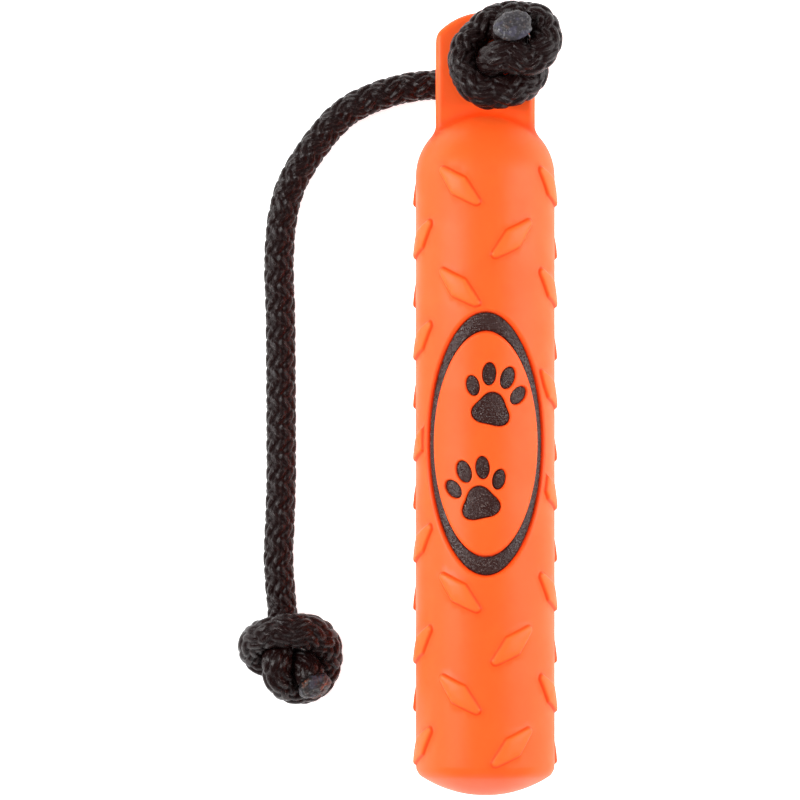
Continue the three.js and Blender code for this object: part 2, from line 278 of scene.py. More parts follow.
def ropePiece(name, surface, start, stop):
    around = rope["around"]
    points = surface["points"][start:stop]
    rings = len(points)
    index = np.arange(rings * around).reshape(rings, around)
    right = np.roll(index, -1, axis=1)
    faces = np.stack([index[:-1], right[:-1], right[1:], index[1:]], axis=-1).reshape(-1, 4).tolist()
    firstCap, lastCap = rings * around, rings * around + 1
    faces += [[firstCap, right[0, j], index[0, j]] for j in range(around)]
    faces += [[lastCap, index[-1, j], right[-1, j]] for j in range(around)]
    centres = surface["centre"][[start, stop - 1]]
    ways = surface["along"][[start, stop - 1]] * np.array([[-1], [1]])
    strandAlong = np.repeat(surface["at"][start:stop], around)
    attributes = {
        "strandAcross": np.append(surface["across"][start:stop].ravel(), (0, 0)),
        "strandAlong": np.append(strandAlong, (0, 0)),
        "strandId": np.append(surface["strandId"][start:stop].ravel(), (0, 0)),
        "strandHigh": np.append(surface["relief"][start:stop].ravel(), (0, 0)),
    }
    return addMesh(
        name,
        np.vstack([points.reshape(-1, 3), centres]),
        faces,
        np.vstack([surface["normals"][start:stop].reshape(-1, 3), ways]),
        attributes,
    )


surface = buildRopeSurface()
firstEnd, secondEnd, lastEnd = surface["ends"]
stopperKnot = ropePiece("stopperKnot", surface, 0, firstEnd)
ropeRun = ropePiece("ropeRun", surface, firstEnd - 1, secondEnd)
endKnot = ropePiece("endKnot", surface, secondEnd - 1, lastEnd)
print("rope braided:", round(float(surface["at"][-1])), "mm in all")

# Melted rope ends: fused fibre, pressed flat against something cold

meltedEnds = {
    "stopperTip": {
        "at": (9.8, 137.1, 53.2), "facing": (-0.1, 0.35, 1), "long": (1, 0.2, 0),
        "radii": (7.5, 5.5, 3.0), "flat": 0.7, "lumps": 0.5, "seed": 3.1,
    },
    "freeTip": {
        "at": (-62.2, -103.5, 16.9), "facing": (0.42, -0.75, 0.5), "long": (0.8, 0.6, 0),
        "radii": (6.4, 5.6, 3.9), "flat": 0.8, "lumps": 0.62, "seed": 8.4,
    },
}


def meltedTip(name):
    facts = meltedEnds[name]
    facing = unit(np.array(facts["facing"], float))
    longWay = np.array(facts["long"], float)
    longWay = unit(longWay - (longWay @ facing) * facing)
    shortWay = np.cross(facing, longWay)
    rows, around = 56, 96
    tilt = np.linspace(0, math.pi, rows)[:, None]
    turn = np.linspace(0, 2 * math.pi, around, endpoint=False)[None, :]
    wobble = 1 + 0.05 * np.cos(2 * turn + facts["seed"]) + 0.04 * np.cos(3 * turn - facts["seed"])
    sideways = np.sin(tilt) ** 0.8
    high = np.sign(np.cos(tilt)) * np.abs(np.cos(tilt)) ** (1 / facts["flat"])
    high = np.where(high > 0, high * facts["flat"], high)
    unitPoints = np.stack(
        [sideways * np.cos(turn) * wobble, sideways * np.sin(turn) * wobble, high + 0 * turn], axis=-1
    ).reshape(-1, 3)
    local = unitPoints * np.array(facts["radii"])
    coarse = noiseAt(local, 2.6, facts["seed"])
    fine = noiseAt(local, 0.95, facts["seed"] + 5)
    pits = np.minimum(noiseAt(local, 0.5, facts["seed"] + 9), 0)
    bulge = facts["lumps"] * (coarse + 0.5 * fine) + 0.22 * pits
    local = local + unit(unitPoints) * bulge[:, None]
    axes = np.stack([longWay, shortWay, facing])
    points = np.array(facts["at"]) + local @ axes
    points = points.reshape(rows, around, 3)
    body = np.vstack([points[0].mean(0)[None], points[1:-1].reshape(-1, 3), points[-1].mean(0)[None]])
    faces = []
    last = len(body) - 1
    for j in range(around):
        k = (j + 1) % around
        faces.append([0, 1 + j, 1 + k])
        faces.append([last, last - around + k, last - around + j])
        for i in range(rows - 3):
            a = 1 + i * around
            faces.append([a + j, a + around + j, a + around + k, a + k])
    piece = addMesh(name, body, faces)
    faceOutwards(piece)
    return piece


stopperTip = meltedTip("stopperTip")
freeTip = meltedTip("freeTip")
print("rope ends melted")

# Body: the same turned form as the hollow shell, with studs, badge channel and pad recesses

shellLow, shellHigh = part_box("body_shell")
body = {
    "radius": 25.4,
    "axisZ": (shellLow.z + shellHigh.z) / 2 / mm,
    "around": 160,
    "domeRadius": 42.6,
    "cornerRadius": 4.6,
    "endY": -143.0,
    "sideEndY": -132.2,
    "shoulderY": 83.2,
    "shoulderLength": 23,
    "lowV": -135.5,  # where the studded skin hands over to the dome and to the shoulder
    "highV": 91.0,
    "rowsUp": 110,
    "fillAcross": 72,  # points between the outlines: how many round, step along, and least gap
    "fillStep": 2.1,
    "fillGap": 0.95,
}
studs = {
    "half": (14.0, 4.1),
    "tipRadius": 1.5,
    "slant": math.radians(41),
    "columns": 8,
    "rows": 6,
    "pitch": 36.9,
    "firstY": 79.2,
    "stagger": 19.2,
    "levels": (-0.6, -0.35, -0.12, 0.12, 0.38, 0.75, 1.2),  # how far inside the edge
    "heights": (0.0, 0.05, 0.26, 0.62, 0.94, 1.12, 1.2),
    "points": 72,
}
badge = {
    "y": -14.4,
    "outer": (21.3, 47.8),
    "inner": (19.4, 40.9),
    "depth": 1.8,
    "clear": 2.5,  # plain margin round the badge that cuts into the studs
    "lipOut": (  # steps over the channel's edges: distance outside the line, height
        (1.6, 0), (1.15, -0.05), (0.75, -0.19), (0.4, -0.44), (0.15, -0.8), (0.02, -1.25), (-0.02, -1.8),
    ),
    "lipIn": (
        (0.02, -1.8), (-0.02, -1.3), (-0.15, -0.8), (-0.4, -0.42), (-0.75, -0.17), (-1.15, -0.04), (-1.6, 0),
    ),
    "outerPoints": 230,
    "innerPoints": 210,
}
paws = {
    "toes": {
        "outer_left": ((-8.6, 2.6), (2.5, 3.8), 26),
        "inner_left": ((-3.5, 8), (2.7, 4.2), 8),
        "inner_right": ((3.5, 8), (2.7, 4.2), -8),
        "outer_right": ((8.6, 2.6), (2.5, 3.8), -26),
    },
    "heel": {"y": -4.8, "width": 7, "height": 6, "lobe": 0.13},
    "prints": {"upper": ((3, 2.4), -12), "lower": ((-3, -31.6), 12)},
    "depth": 1.5,
    "lip": ((0.6, 0), (0.36, -0.05), (0.16, -0.22), (0.03, -0.55), (-0.01, -1.0), (-0.04, -1.5)),
}
padNames = [*paws["toes"], "heel"]


def turnBy(angle):
    return np.array([[math.cos(angle), math.sin(angle)], [-math.sin(angle), math.cos(angle)]])


# How much painted crease shade a point on the skin gets, from how far it is inside the edge
def creaseShadeAt(level):
    return np.exp(-((np.asarray(level, float) + 0.1) / 0.36) ** 2)


def onSkin(u, v, height):
    side = np.clip((body["sideEndY"] - v) / body["cornerRadius"], 0, None)
    rise = np.clip((v - body["shoulderY"]) / body["shoulderLength"], 0, 0.99)
    low, high = v < body["sideEndY"], v > body["shoulderY"]
    radius = np.full_like(v, body["radius"])
    y = v.copy()
    radius = np.where(low, body["radius"] - body["cornerRadius"] * (1 - np.cos(side)), radius)
    y = np.where(low, body["sideEndY"] - body["cornerRadius"] * np.sin(side), y)
    radius = np.where(high, body["radius"] * np.sqrt(1 - rise**2), radius)
    tiltOut = np.where(high, rise / body["shoulderLength"], 0)
    slopeY = np.where(low, -np.sin(side), 0)
    slopeR = np.where(low, np.cos(side), 1)
    steep = tiltOut * body["radius"] ** 2 / np.maximum(radius, 1)
    slopeY = np.where(high, steep, slopeY)
    size = np.hypot(slopeR, slopeY)
    slopeR, slopeY = slopeR / size, slopeY / size
    theta = u / body["radius"]
    outwards = np.stack([slopeR * np.sin(theta), slopeY, slopeR * np.cos(theta)], axis=-1)
    roundWay = np.stack([np.cos(theta), np.zeros_like(theta), -np.sin(theta)], axis=-1)
    upWay = np.cross(outwards, roundWay)
    upWay *= np.sign(upWay[..., 1:2])
    base = np.stack([radius * np.sin(theta), y, body["axisZ"] + radius * np.cos(theta)], axis=-1)
    return base + outwards * height[..., None], outwards, roundWay, upWay


def unroll(outline):
    return np.stack([body["radius"] * np.arcsin(outline[:, 0] / body["radius"]), outline[:, 1]], axis=1)


def spreadEvenly(closed, count):
    loop = np.vstack([closed, closed[:1]])
    walked = np.concatenate([[0], np.cumsum(np.linalg.norm(np.diff(loop, axis=0), axis=1))])
    at = np.linspace(0, walked[-1], count, endpoint=False)
    return np.stack([np.interp(at, walked, loop[:, k]) for k in range(2)], axis=1)


# Outward normals of a closed line that runs anticlockwise
def lineNormals(closed):
    ahead = np.roll(closed, -1, axis=0) - np.roll(closed, 1, axis=0)
    return unit(np.stack([ahead[:, 1], -ahead[:, 0]], axis=1))


def ellipseLine(radii, count):
    turn = np.linspace(0, 2 * math.pi, 720, endpoint=False)
    oval = np.stack([radii[0] * np.cos(turn), badge["y"] + radii[1] * np.sin(turn)], axis=1)
    return spreadEvenly(unroll(oval), count)


def padLine(printName, pad, count=64):
    turn = np.linspace(0, 2 * math.pi, 360, endpoint=False)
    if pad == "heel":
        heel = paws["heel"]
        swell = 1 + heel["lobe"] * np.cos(3 * (turn - math.pi / 2))
        across, up = heel["width"] * swell * np.cos(turn), heel["height"] * swell * np.sin(turn)
        shape = np.stack([across, heel["y"] + up], axis=1)
    else:
        middle, radii, tilt = paws["toes"][pad]
        lean = math.radians(tilt)
        a, b = radii[0] * np.cos(turn), radii[1] * np.sin(turn)
        across, up = a * math.cos(lean) - b * math.sin(lean), a * math.sin(lean) + b * math.cos(lean)
        shape = np.stack([middle[0] + across, middle[1] + up], axis=1)
    place, lean = paws["prints"][printName]
    return spreadEvenly(unroll(shape @ turnBy(math.radians(lean)) + np.array(place)), count)


badgeEdge = ellipseLine(badge["outer"], 400)
badgeNormals = lineNormals(badgeEdge)


def outsideBadge(points):
    gap = points[:, None, :] - badgeEdge[None]
    nearest = (gap**2).sum(-1).argmin(1)
    pick = np.arange(len(points))
    away = gap[pick, nearest]
    return (away * badgeNormals[nearest]).sum(1)


# Distance inside the edge of one stud, less where the badge's margin cuts it
def insideStud(points, place):
    lean = place["lean"]
    du, dv = points[:, 0] - place["u"], points[:, 1] - place["v"]
    p = np.abs(du * math.cos(lean) + dv * math.sin(lean))
    q = np.abs(dv * math.cos(lean) - du * math.sin(lean))
    tilt = math.atan2(studs["half"][1], studs["half"][0])
    a = studs["half"][0] - studs["tipRadius"] / math.sin(tilt)
    b = studs["half"][1] - studs["tipRadius"] / math.cos(tilt)
    share = np.clip(((a - 2 * p) * a - (b - 2 * q) * b) / (a * a + b * b), -1, 1)
    away = np.hypot(p - 0.5 * a * (1 - share), q - 0.5 * b * (1 + share))
    inside = studs["tipRadius"] - away * np.sign(p * b + q * a - a * b)
    if not place["cut"]:
        return inside
    margin = outsideBadge(points) - badge["clear"]
    blend = np.clip(0.5 + 0.5 * (margin - inside) / 0.5, 0, 1)
    return margin * (1 - blend) + inside * blend - 0.5 * blend * (1 - blend)


def studPlaces():
    places = []
    for column in range(studs["columns"]):
        angle = (column + 0.5) * 2 * math.pi / studs["columns"]
        angle = angle - 2 * math.pi if angle > math.pi else angle
        leansLeft = column % 2 == 1
        top = studs["firstY"] - (0 if leansLeft else studs["stagger"])
        for row in range(studs["rows"]):
            v = top - row * studs["pitch"]
            x = body["radius"] * math.sin(angle)
            facing = math.cos(angle) > 0
            reach = (x / badge["outer"][0]) ** 2 + ((v - badge["y"]) / badge["outer"][1]) ** 2
            if facing and reach < 1:
                continue
            u = body["radius"] * angle
            lean = -studs["slant"] if leansLeft else studs["slant"]
            near = facing and abs(v - badge["y"]) < badge["outer"][1] + 12
            places.append({"u": u, "v": v, "lean": lean, "cut": near})
    return places


def studRings(place):
    steps = np.arange(-13, 13.1, 0.5)
    grid = np.stack(np.meshgrid(steps, steps), axis=-1).reshape(-1, 2) + np.array([place["u"], place["v"]])
    solid = grid[insideStud(grid, place) > 0.9]
    if len(solid) < 12:
        return []
    middle = solid.mean(0)
    away = studs["half"][0] + 1.0
    corners = np.array([(away, 0), (0, 5.0), (-away, 0), (0, -5.0)])
    turned = turnBy(place["lean"])
    sides = [np.linspace(corners[i], corners[(i + 1) % 4], 40, endpoint=False) for i in range(4)]
    loop = spreadEvenly(np.concatenate(sides), studs["points"]) @ turned + np.array([place["u"], place["v"]])
    way = unit(loop - middle)
    slopes = np.gradient(np.array(studs["heights"]), np.array(studs["levels"]))
    rings = []
    for level, height, slope in zip(studs["levels"], studs["heights"], slopes):
        near, far = np.zeros(len(way)), np.full(len(way), 19.0)
        for _ in range(30):
            half = (near + far) / 2
            isIn = insideStud(middle + way * half[:, None], place) > level
            near, far = np.where(isIn, half, near), np.where(isIn, far, half)
        ring = middle + way * near[:, None]
        tiny = 0.02
        toU = insideStud(ring + (tiny, 0), place) - insideStud(ring - (tiny, 0), place)
        toV = insideStud(ring + (0, tiny), place) - insideStud(ring - (0, tiny), place)
        rings.append((ring, height, -slope * unit(np.stack([toU, toV], axis=1)), creaseShadeAt(level)))
    return rings


# Rings that follow a line at set distances outside it, each with its height and its share of painted recess
# shade
def lippedRings(line, steps):
    normals = lineNormals(line)
    away, heights = np.array([s[0] for s in steps]), np.array([s[1] for s in steps], float)
    slopes = np.gradient(heights, away)
    slopes[[0, -1]] = 0
    # painted shade in the channel and pad recesses, full from 0.7 mm down
    deep = np.clip(-heights / 0.7, 0, 1)
    return [(line + normals * a, h, -s * normals, c) for a, h, s, c in zip(away, heights, slopes, deep)]


def skinRings():
    rings = []
    for place in studPlaces():
        rings += studRings(place)
    rings += lippedRings(ellipseLine(badge["outer"], badge["outerPoints"]), badge["lipOut"])
    rings += lippedRings(ellipseLine(badge["inner"], badge["innerPoints"]), badge["lipIn"])
    for printName in paws["prints"]:
        for pad in padNames:
            rings += lippedRings(padLine(printName, pad), paws["lip"])
    return rings


def insideLine(points, line):
    x, y = points[:, 0][:, None], points[:, 1][:, None]
    ax, ay = line[:, 0][None], line[:, 1][None]
    bx, by = np.roll(line[:, 0], -1)[None], np.roll(line[:, 1], -1)[None]
    crosses = (ay > y) != (by > y)
    hit = x < (bx - ax) * (y - ay) / np.where(by == ay, 1e-9, by - ay) + ax
    return (crosses & hit).sum(1) % 2 == 1


def fillerPoints(taken):
    tree = kdtree.KDTree(len(taken))
    for i, point in enumerate(taken):
        tree.insert((point[0], point[1], 0), i)
    tree.balance()
    half = math.pi * body["radius"]
    across, step = 2 * half / body["fillAcross"], body["fillStep"]
    rows = np.arange(body["lowV"] + step, body["highV"] - 0.6 * step, step)
    found = []
    for i, v in enumerate(rows):
        for j in range(body["fillAcross"]):
            u = -half + across * (j + (0.75 if i % 2 else 0.25))
            if tree.find((u, v, 0))[2] > body["fillGap"]:
                found.append((u, v))
    return np.array(found)


def fillerHeights(points):
    height = np.zeros(len(points))
    for place in studPlaces():
        near = np.hypot(points[:, 0] - place["u"], points[:, 1] - place["v"]) < 14
        if near.any():
            deep = insideStud(points[near], place)
            height[near] = np.where(deep > 1.0, studs["heights"][-1] + 0.02, height[near])
    outer = insideLine(points, ellipseLine(badge["outer"], badge["outerPoints"]))
    inner = insideLine(points, ellipseLine(badge["inner"], badge["innerPoints"]))
    height[outer & ~inner] = -badge["depth"]
    for printName in paws["prints"]:
        for pad in padNames:
            height[insideLine(points, padLine(printName, pad))] = -paws["depth"]
    return height


def studdedSkin():
    half = math.pi * body["radius"]
    around = body["around"]
    edgeU = np.linspace(-half, half, around + 1)
    edgeV = np.linspace(body["lowV"], body["highV"], body["rowsUp"])
    between = body["rowsUp"] - 2
    low = np.stack([edgeU, np.full(around + 1, body["lowV"])], axis=1)
    high = np.stack([edgeU, np.full(around + 1, body["highV"])], axis=1)
    left = np.stack([np.full(between, -half), edgeV[1:-1]], axis=1)
    right = np.stack([np.full(between, half), edgeV[1:-1]], axis=1)
    border = np.vstack([low, right, high[::-1], left[::-1]])
    flat, heights, tilts, edges = [border], [np.zeros(len(border))], [np.zeros((len(border), 2))], []
    creaseShades = [np.zeros(len(border))]
    count = len(border)
    edges += [(i, (i + 1) % count) for i in range(count)]
    for ring, height, tilt, creaseShade in skinRings():
        size = len(ring)
        edges += [(count + i, count + (i + 1) % size) for i in range(size)]
        flat.append(ring)
        heights.append(np.full(size, height, float))
        tilts.append(tilt)
        creaseShades.append(np.full(size, creaseShade, float))
        count += size
    filler = fillerPoints(np.vstack(flat))
    flat.append(filler)
    heights.append(fillerHeights(filler))
    tilts.append(np.zeros((len(filler), 2)))
    # filler points deep in the recesses get full painted crease shade
    creaseShades.append((heights[-1] < -0.5) * 1.0)
    flat, heights, tilts = np.vstack(flat), np.concatenate(heights), np.vstack(tilts)
    made = delaunay_2d_cdt([Vector(p) for p in flat], edges, [], 0, 1e-6, True)
    source = [ids[0] if ids else -1 for ids in made[3]]
    if min(source) < 0:
        raise ValueError("two outlines on the skin cross near " + str(made[0][source.index(-1)]))
    source = np.array(source)
    points, outwards, roundWay, upWay = onSkin(flat[:, 0], flat[:, 1], heights)
    normals = unit(outwards + roundWay * tilts[:, :1] + upWay * tilts[:, 1:])
    faces = [[source[i] for i in face] for face in made[2]]
    total = len(flat)
    same = np.arange(total)
    lowIds = np.arange(around + 1)
    rightIds = around + 1 + np.arange(between)
    highIds = (around + 1 + between + np.arange(around + 1))[::-1]
    leftIds = (2 * (around + 1) + between + np.arange(between))[::-1]
    same[rightIds] = leftIds
    same[lowIds[-1]] = lowIds[0]
    same[highIds[-1]] = highIds[0]
    faces = [[int(same[i]) for i in face] for face in faces]
    # share of the stud's full height, used for a painted highlight on stud tops
    studTopHighlight = np.clip(heights / studs["heights"][-1], 0, 1)
    return points, normals, faces, lowIds[:-1], highIds[:-1], np.concatenate(creaseShades), studTopHighlight


tab = {
    "top": shellHigh.y / mm,
    "halfWidth": 18.1,
    "crownRadius": 23.8,
    "cornerRadius": 1.5,
    "halfThickness": 7.0,
    "edge": 2.4,
    "fillet": 1.7,
    "filletRows": (98, 109.5, 0.75),  # heights of outlines: from, to, step
    "plateRows": (110, 133.6, 16),  # from, to, how many
    "crownRows": (50, 1.9, -2.4),  # degrees from the top: from, to, step
    "lastRows": (1.2, 0.5),
    "holeY": 118.6,
    "holeClear": 9.5,  # half the square left open for the hole's own faces
    "holeLip": ((7.2, 0), (6.75, 0.08), (6.35, 0.27), (6.02, 0.6), (5.8, 1.0), (5.7, 1.6)),
}


def roundedMax(a, b, radius):
    corner = np.hypot(np.maximum(radius + a, 0), np.maximum(radius + b, 0))
    return np.minimum(-radius, np.maximum(a, b)) + corner


def roundedMin(a, b, radius):
    corner = np.hypot(np.maximum(radius - a, 0), np.maximum(radius - b, 0))
    return np.maximum(radius, np.minimum(a, b)) - corner


# Signed distance to the shoulder and tab together, negative inside, or, as painted crease shade, how close
# the two are
def headDistance(x, y, z, asCreaseShade=False):
    crownY = tab["top"] - tab["crownRadius"]
    crown = np.hypot(x, np.maximum(y - crownY, 0)) - tab["crownRadius"]
    plan = roundedMax(np.abs(x) - tab["halfWidth"], crown, tab["cornerRadius"])
    plate = roundedMax(plan, np.abs(z) - tab["halfThickness"], tab["edge"])
    out, up = np.hypot(x, z), np.maximum(y - body["shoulderY"], 0)
    size = np.hypot(out / body["radius"], up / body["shoulderLength"])
    steep = np.hypot(out / body["radius"] ** 2, up / body["shoulderLength"] ** 2)
    shoulder = size * (size - 1) / np.maximum(steep, 1e-9)
    if asCreaseShade:
        return np.exp(-((np.abs(plate) + np.abs(shoulder)) / 2.6) ** 2)
    return roundedMin(plate, shoulder, tab["fillet"])


def headRows():
    crownY = tab["top"] - tab["crownRadius"]
    lean = np.radians(np.append(np.arange(*tab["crownRows"]), tab["lastRows"]))
    crownRows = crownY + tab["crownRadius"] * np.cos(lean)
    shoulderRows = np.arange(body["highV"] + 1, tab["filletRows"][0], 1)
    filletRows = np.arange(*tab["filletRows"])
    tabRows = np.linspace(*tab["plateRows"])
    return np.concatenate([shoulderRows, filletRows, tabRows, crownRows])


# One outline of the head at a height along the body, evenly spread from the back seam round
def headLoop(y):
    theta = np.linspace(0, math.pi, 721)
    near, far = np.zeros(721), np.full(721, 30.0)
    for _ in range(34):
        half = (near + far) / 2
        isIn = headDistance(half * np.sin(theta), y, half * np.cos(theta)) < 0
        near, far = np.where(isIn, half, near), np.where(isIn, far, half)
    x, z = near * np.sin(theta), near * np.cos(theta)
    walked = np.concatenate([[0], np.cumsum(np.hypot(np.diff(x), np.diff(z)))])
    at = np.linspace(0, walked[-1], body["around"] // 2 + 1)
    x, z = np.interp(at, walked, x), np.interp(at, walked, z)
    x[0] = x[-1] = 0
    full = np.stack([np.concatenate([-x[:0:-1], x[:-1]]), np.concatenate([z[:0:-1], z[:-1]])], axis=1)
    return np.stack([full[:, 0], np.full(len(full), y), full[:, 1] + body["axisZ"]], axis=1)


def holeFill(grid, rows, columns, points, faces, facingUp):
    border = [grid[rows[0], c] for c in columns]
    border += [grid[r, columns[-1]] for r in rows[1:]]
    border += [grid[rows[-1], c] for c in columns[-2::-1]]
    border += [grid[r, columns[0]] for r in rows[-2:0:-1]]
    steps = 64
    turn = np.linspace(0, 2 * math.pi, steps, endpoint=False)
    level = body["axisZ"] + (tab["halfThickness"] if facingUp else -tab["halfThickness"])
    rings = []
    for radius, sunk in tab["holeLip"]:
        z = level - sunk if facingUp else level + sunk
        start = len(points)
        points += [(radius * math.cos(t), tab["holeY"] + radius * math.sin(t), z) for t in turn]
        rings.append(list(range(start, start + steps)))
    ids = border + rings[0]
    flat = [Vector(points[i][:2]) for i in ids]
    size = len(border)
    edges = [(i, (i + 1) % size) for i in range(size)]
    edges += [(size + i, size + (i + 1) % steps) for i in range(steps)]
    made = delaunay_2d_cdt(flat, edges, [], 0, 1e-6, True)
    for face in made[2]:
        middle = sum((made[0][i] for i in face), Vector((0, 0))) / 3
        if (middle - Vector((0, tab["holeY"]))).length > tab["holeLip"][0][0] * 0.99:
            faces.append([ids[made[3][i][0]] for i in face])
    return rings


def joinRings(faces, first, second):
    size = len(first)
    for i in range(size):
        k = (i + 1) % size
        faces.append([int(first[i]), int(first[k]), int(second[k]), int(second[i])])


def addHead(points, faces, seamIds):
    around = body["around"]
    rows = headRows()
    grid = np.zeros((len(rows) + 1, around), int)
    grid[0] = seamIds
    for i, y in enumerate(rows):
        grid[i + 1] = np.arange(len(points), len(points) + around)
        points += headLoop(y).tolist()
    clear = tab["holeClear"]
    inRows = [i + 1 for i, y in enumerate(rows) if abs(y - tab["holeY"]) < clear]
    facingUp = range(around // 4 + 1, around // 4 * 3)
    front = [c for c in facingUp if abs(points[grid[inRows[0], c]][0]) < clear]
    back = [(c + around // 2) % around for c in front]
    skip = set()
    for columns in (front, back):
        for r in inRows[:-1]:
            skip |= {(r, c) for c in columns[:-1]}
    for i in range(len(rows)):
        for j in range(around):
            if (i, j) in skip:
                continue
            k = (j + 1) % around
            faces.append([int(grid[i, j]), int(grid[i, k]), int(grid[i + 1, k]), int(grid[i + 1, j])])
    top, middle = grid[-1], around // 2
    for m in range(middle):
        right, left = (middle + m) % around, (middle - m) % around
        nextRight, nextLeft = (middle + m + 1) % around, (middle - m - 1) % around
        corners = [int(top[right]), int(top[nextRight]), int(top[nextLeft]), int(top[left])]
        faces.append(list(dict.fromkeys(corners)))
    frontRings = holeFill(grid, inRows, front, points, faces, True)
    backRings = holeFill(grid, inRows, back, points, faces, False)
    for rings in (frontRings, backRings):
        for first, second in zip(rings[:-1], rings[1:]):
            joinRings(faces, first, second)
    joinRings(faces, frontRings[-1], backRings[-1])


valve = {
    "boreRadius": 3.9,
    "lip": 0.7,
    "wall": ((1, 1.2), (1, 2.4), (1, 3.4), (0.6, 3.5)),  # share of the bore's radius, depth
    "button": (  # radius, and how far out of the dome
        (0.0, -2.6), (0.75, -2.6), (0.85, -1.2), (0.95, 0.05), (1.15, 0.3), (1.6, 0.38), (2.3, 0.36),
        (2.8, 0.28), (3.15, 0.08), (3.4, -0.2), (3.55, -0.6), (3.6, -1.2), (3.6, -3.2), (0.0, -3.2),
    ),
    "sunk": 0.75,
}


# Profile of the domed end, from the side round to the bottom of the valve's bore
def domeProfile():
    lowTurn = (body["sideEndY"] - body["lowV"]) / body["cornerRadius"]
    cornerX = body["radius"] - body["cornerRadius"]
    domeY = body["endY"] + body["domeRadius"]
    meet = math.acos(cornerX / (body["domeRadius"] - body["cornerRadius"]))
    radius = body["cornerRadius"]
    corner = [
        (cornerX + radius * math.cos(t), body["sideEndY"] - radius * math.sin(t))
        for t in np.linspace(lowTurn, meet, 7)[1:]
    ]
    outerTurn = math.pi / 2 - meet
    lipTurn = math.asin((valve["boreRadius"] + valve["lip"]) / body["domeRadius"])
    dome = [
        (body["domeRadius"] * math.sin(t), domeY - body["domeRadius"] * math.cos(t))
        for t in np.linspace(outerTurn, lipTurn, 20)[1:]
    ]
    lipX, lipY = dome[-1]
    lip = [
        (lipX - valve["lip"] * math.sin(t), lipY + valve["lip"] * (1 - math.cos(t)))
        for t in np.linspace(0, math.pi / 2, 6)[1:]
    ]
    wallX, wallY = lip[-1]
    wall = [(wallX * share, wallY + depth) for share, depth in valve["wall"]]
    return corner + dome + lip + wall + [(0.5, wall[-1][1])]


def addDome(points, faces, seamIds):
    around = body["around"]
    theta = np.linspace(-math.pi, math.pi, around, endpoint=False)
    last = list(seamIds)
    for radius, y in domeProfile():
        ring = list(range(len(points), len(points) + around))
        points += [(radius * math.sin(t), y, body["axisZ"] + radius * math.cos(t)) for t in theta]
        joinRings(faces, last, ring)
        last = ring
    points.append((0, points[-1][1], body["axisZ"]))
    for i in range(around):
        faces.append([last[i], last[(i + 1) % around], len(points) - 1])


def buildShell():
    skinPoints, skinNormals, faces, lowIds, highIds, creaseShades, studTopHighlight = studdedSkin()
    points = skinPoints.tolist()
    addHead(points, faces, highIds)
    addDome(points, faces, lowIds)
    used = sorted({i for face in faces for i in face})
    place = {old: new for new, old in enumerate(used)}
    faces = [[place[i] for i in face] for face in faces]
    points = np.array(points)[used]
    # painted crease shade where the tab meets the shoulder, joined with the skin's creases and recesses
    headCreaseShade = headDistance(points[:, 0], points[:, 1], points[:, 2] - body["axisZ"], True)
    isSkin = np.array(used) < len(skinPoints)
    skinIds = np.array(used)[isSkin]
    creaseShade, height = np.where(points[:, 1] > 84, headCreaseShade, 0), np.zeros(len(used))
    creaseShade[isSkin] = np.maximum(creaseShade[isSkin], creaseShades[skinIds])
    height[isSkin] = studTopHighlight[skinIds]
    piece = addMesh("bodyShell", points, faces, attributes={"creaseShade": creaseShade, "studTopHighlight": height})
    faceOutwards(piece)
    own = np.zeros(len(used) * 3)
    piece.data.vertex_normals.foreach_get("vector", own)
    normals = own.reshape(-1, 3)
    for new, old in enumerate(used):
        if old < len(skinNormals):
            normals[new] = skinNormals[old]
    piece.data.normals_split_custom_set_from_vertices(normals.tolist())
    return piece


bodyShell = buildShell()
print("body moulded:", len(bodyShell.data.polygons), "faces")


def buildValve():
    around = 64
    theta = np.linspace(0, 2 * math.pi, around, endpoint=False)
    points, faces, last = [], [], None
    middle = body["endY"] + valve["sunk"]
    for radius, out in valve["button"]:
        y = middle - out
        if radius == 0:
            ring = [len(points)]
            points.append((0, y, body["axisZ"]))
        else:
            ring = list(range(len(points), len(points) + around))
            points += [(radius * math.sin(t), y, body["axisZ"] + radius * math.cos(t)) for t in theta]
        if last and len(last) == len(ring):
            joinRings(faces, last, ring)
        elif last:
            tip, full = (last[0], ring) if len(last) == 1 else (ring[0], last)
            faces += [[tip, full[i], full[(i + 1) % around]] for i in range(around)]
        last = ring
    piece = addMesh("airValve", points, faces)
    faceOutwards(piece)
    piece.data.set_sharp_from_angle(angle=math.radians(50))
    return piece


airValve = buildValve()

# Black inlays that lie in the badge channel and in the pads

inlay = {
    "ringTop": -1.12,
    "ringBottom": -1.75,
    "padTop": -0.78,
    "padBottom": -1.45,
    "inset": 0.14,
    "across": 16,
    "sag": 0.16,
    "rough": 0.07,
}


